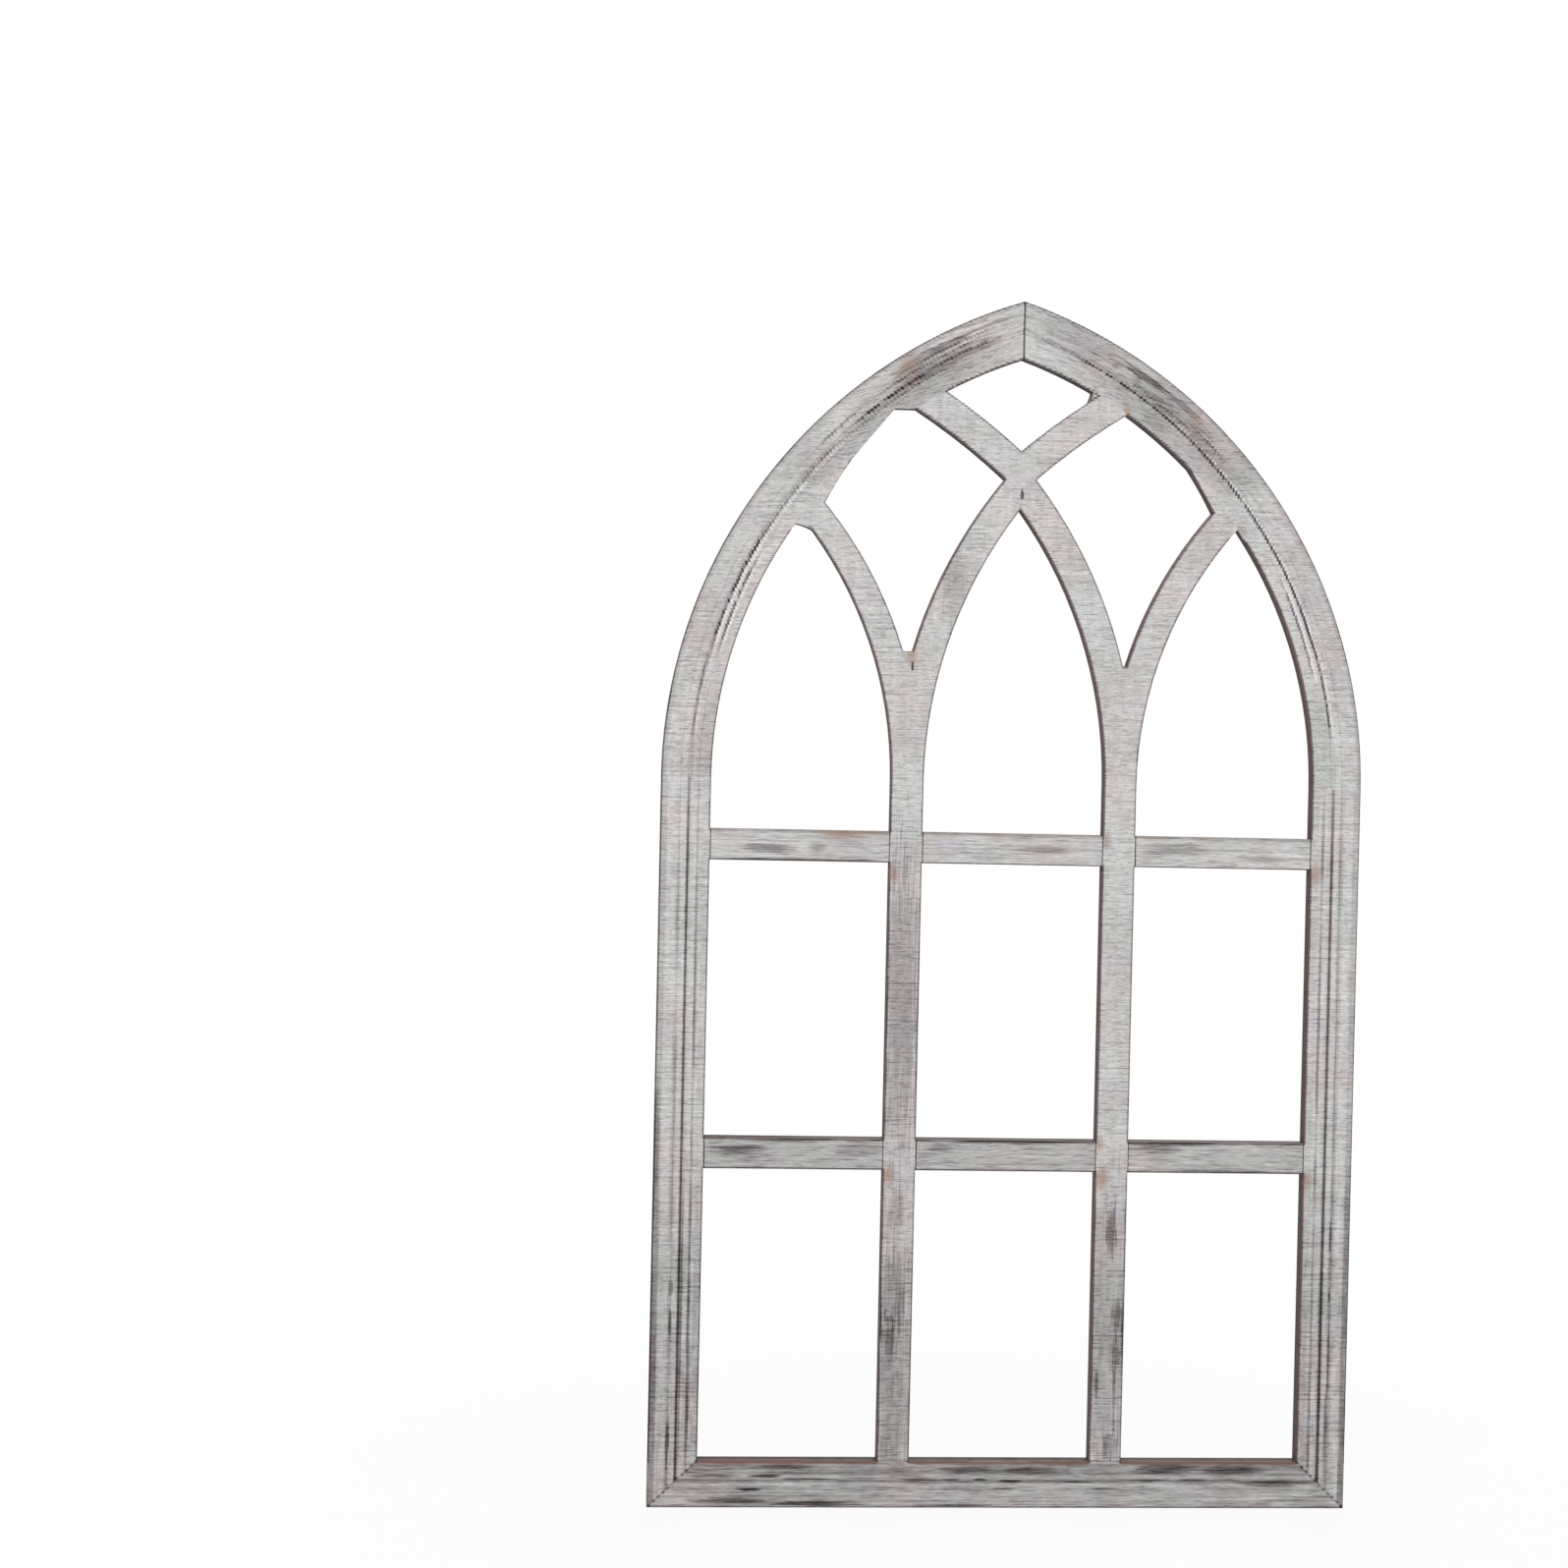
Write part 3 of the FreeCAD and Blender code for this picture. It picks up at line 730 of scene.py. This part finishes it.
def pale_floor():
    bpy.ops.mesh.primitive_plane_add(size=FLOOR_SIZE, location=(0, 0, 0))
    floor = bpy.context.object
    floor.name = "floor"
    material = bpy.data.materials.new("pale_floor")
    material.use_nodes = True
    tree = material.node_tree
    diffuse = tree.nodes["Principled BSDF"]
    diffuse.inputs["Base Color"].default_value = FLOOR_COLOUR
    diffuse.inputs["Roughness"].default_value = FLOOR_ROUGHNESS
    white = tree.nodes.new("ShaderNodeEmission")
    coordinates = tree.nodes.new("ShaderNodeTexCoord")
    split = tree.nodes.new("ShaderNodeSeparateXYZ")
    tree.links.new(coordinates.outputs["Object"], split.inputs[0])
    away = length(Field(split.outputs["X"]), Field(split.outputs["Y"])).ramp(*SHADOW_REACH)
    mix = tree.nodes.new("ShaderNodeMixShader")
    connect(mix.inputs["Fac"], seen_directly(tree) * (1.0 - SHADOW_SHARE + away * SHADOW_SHARE))
    tree.links.new(diffuse.outputs[0], mix.inputs[1])
    tree.links.new(white.outputs[0], mix.inputs[2])
    tree.links.new(mix.outputs[0], tree.nodes["Material Output"].inputs["Surface"])
    floor.data.materials.append(material)


def white_surround():
    """White behind the object, and a plain even light on it."""
    world = bpy.data.worlds.new("surround")
    bpy.context.scene.world = world
    world.use_nodes = True
    tree = world.node_tree
    background = tree.nodes["Background"]
    background.inputs["Color"].default_value = (1.0, 1.0, 1.0, 1.0)
    connect(background.inputs["Strength"], SURROUND_LIGHT + seen_directly(tree) * (1.0 - SURROUND_LIGHT))


def softbox(name, location, power):
    lamp = bpy.data.lights.new(name, "AREA")
    lamp.size = LAMP_SIZE
    lamp.energy = power
    holder = bpy.data.objects.new(name, lamp)
    holder.location = location
    aim = Vector(LAMP_TARGET) - Vector(location)
    holder.rotation_euler = aim.to_track_quat("-Z", "Y").to_euler()
    bpy.context.scene.collection.objects.link(holder)


def camera():
    """Where the photograph was taken from: a little to the left, at mid height, turned slightly right."""
    lens = bpy.data.cameras.new("camera")
    lens.sensor_width = SENSOR_WIDTH
    lens.lens = FOCAL_LENGTH
    holder = bpy.data.objects.new("camera", lens)
    turn = Matrix.Rotation(math.radians(CAMERA_TURN), 4, "Z")
    tilt = Matrix.Rotation(math.radians(CAMERA_TILT), 4, "X")
    roll = Matrix.Rotation(math.radians(CAMERA_ROLL), 4, "Z")
    holder.matrix_world = Matrix.Translation(CAMERA_PLACE) @ turn @ tilt @ roll
    bpy.context.scene.collection.objects.link(holder)
    bpy.context.scene.camera = holder


pale_floor()
white_surround()
for lamp_name, (lamp_place, lamp_power) in LAMPS.items():
    softbox(lamp_name, lamp_place, lamp_power)
camera()

scene = bpy.context.scene
scene.view_settings.view_transform = "Standard"
